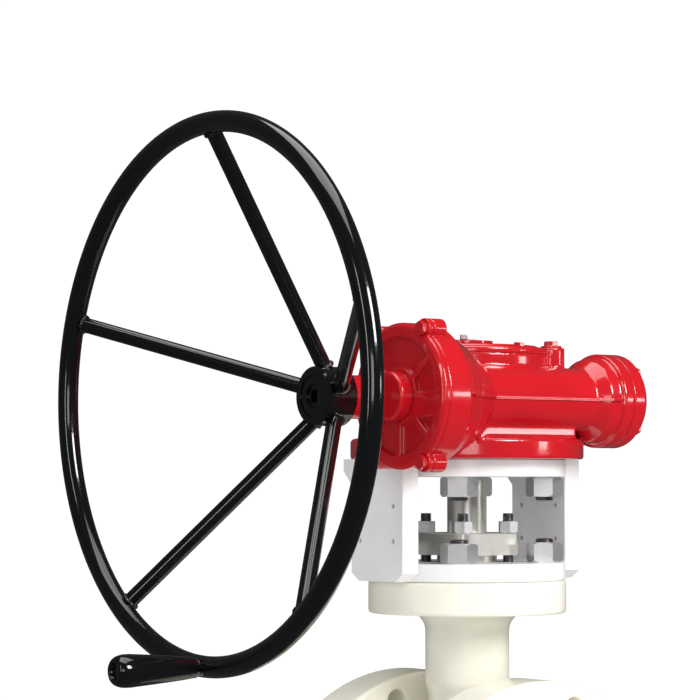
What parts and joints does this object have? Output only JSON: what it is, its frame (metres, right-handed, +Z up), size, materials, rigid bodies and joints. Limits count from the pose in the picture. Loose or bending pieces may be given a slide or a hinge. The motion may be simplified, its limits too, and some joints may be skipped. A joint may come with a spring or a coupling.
{
  "type": "plug valve",
  "caption": "Flanged plug valve with an open mounting bracket, a worm gearbox with spur stage, and a dished handwheel that turns the plug a quarter turn.",
  "frame": {"origin": "centre of the flow bore, on the stem axis", "axes": "+Z up the stem, Y along the flow bore, -X towards the handwheel"},
  "size_m": [0.6525, 0.5514, 0.9956],
  "materials": {
    "cream_paint": "semi-gloss enamel",
    "white_paint": "semi-gloss enamel",
    "red_paint": "gloss enamel",
    "black_paint": "gloss enamel",
    "bright_steel": "zinc plated",
    "dark_steel": "oiled",
    "stainless": "machined",
    "bronze": "machined",
    "graphite": "pressed graphite",
    "rubber_black": "moulded"
  },
  "bodies": {
    "valve": {"bottom_cover": "cream_paint", "bottom_cover_bolts": "bright_steel", "bottom_cover_gasket": "graphite", "bracket_bottom_disc": "white_paint", "bracket_left_plate": "white_paint", "bracket_right_plate": "white_paint", "bracket_top_disc": "white_paint", "gearbox_housing": "red_paint", "gland_flange": "stainless", "gland_follower": "stainless", "gland_nuts": "bright_steel", "gland_studs": "dark_steel", "grease_plug": "red_paint", "input_bushes": "bronze", "input_lip_seal": "rubber_black", "lower_bracket_nuts": "bright_steel", "lower_bracket_studs": "dark_steel", "neck_bush": "bronze", "packing_rings": "graphite", "plug_thrust_screw": "bright_steel", "quadrant_bushes": "bronze", "quadrant_cover": "red_paint", "quadrant_cover_bolts": "red_paint", "spur_cover": "red_paint", "spur_cover_bolts": "red_paint", "stem_thrust_washer": "stainless", "stop_bolt_locknuts": "bright_steel", "stop_bolts": "bright_steel", "thrust_screw_locknut": "bright_steel", "upper_bracket_nuts": "bright_steel", "upper_bracket_studs": "dark_steel", "valve_body": "cream_paint", "worm_bearings": "dark_steel", "worm_boss_cap": "red_paint", "worm_end_bolts": "red_paint", "worm_end_cap": "red_paint"},
    "plug_train": {"plug": "stainless", "stem": "stainless", "stem_key": "dark_steel", "worm_wheel": "bronze", "position_pointer": "red_paint", "pointer_screw": "bright_steel"},
    "worm": {"worm_shaft": "dark_steel", "spur_gear": "dark_steel", "spur_gear_key": "dark_steel"},
    "handwheel": {"input_pinion_shaft": "black_paint", "handwheel_key": "dark_steel", "handwheel_rim": "black_paint", "handwheel_hub": "black_paint", "handwheel_spokes": "black_paint", "hub_retaining_ring": "black_paint", "handle_spindle": "black_paint"},
    "grip": {"handle_grip": "black_paint"}
  },
  "joints": [
    {"name": "handwheel_turn", "type": "hinge", "parent": "valve", "child": "handwheel", "pos_m": [-0.2, -0.037, 0.48], "axis": [1, 0, 0], "range_deg": [0, 10054]},
    {"name": "worm_spin", "type": "hinge", "parent": "valve", "child": "worm", "pos_m": [0, -0.085, 0.48], "axis": [1, 0, 0], "range_deg": [-4140, 0]},
    {"name": "plug_turn", "type": "hinge", "parent": "valve", "child": "plug_train", "pos_m": [0, 0, 0.3], "axis": [0, 0, -1], "range_deg": [0, 90]},
    {"name": "grip_spin", "type": "hinge", "parent": "handwheel", "child": "grip", "pos_m": [-0.4, -0.037, 0.215], "axis": [1, 0, 0], "continuous": true}
  ],
  "couplings": [
    {"joint": "worm_spin", "follows": "handwheel_turn", "ratio": -0.41176},
    {"joint": "plug_turn", "follows": "handwheel_turn", "ratio": 0.0089514}
  ]
}
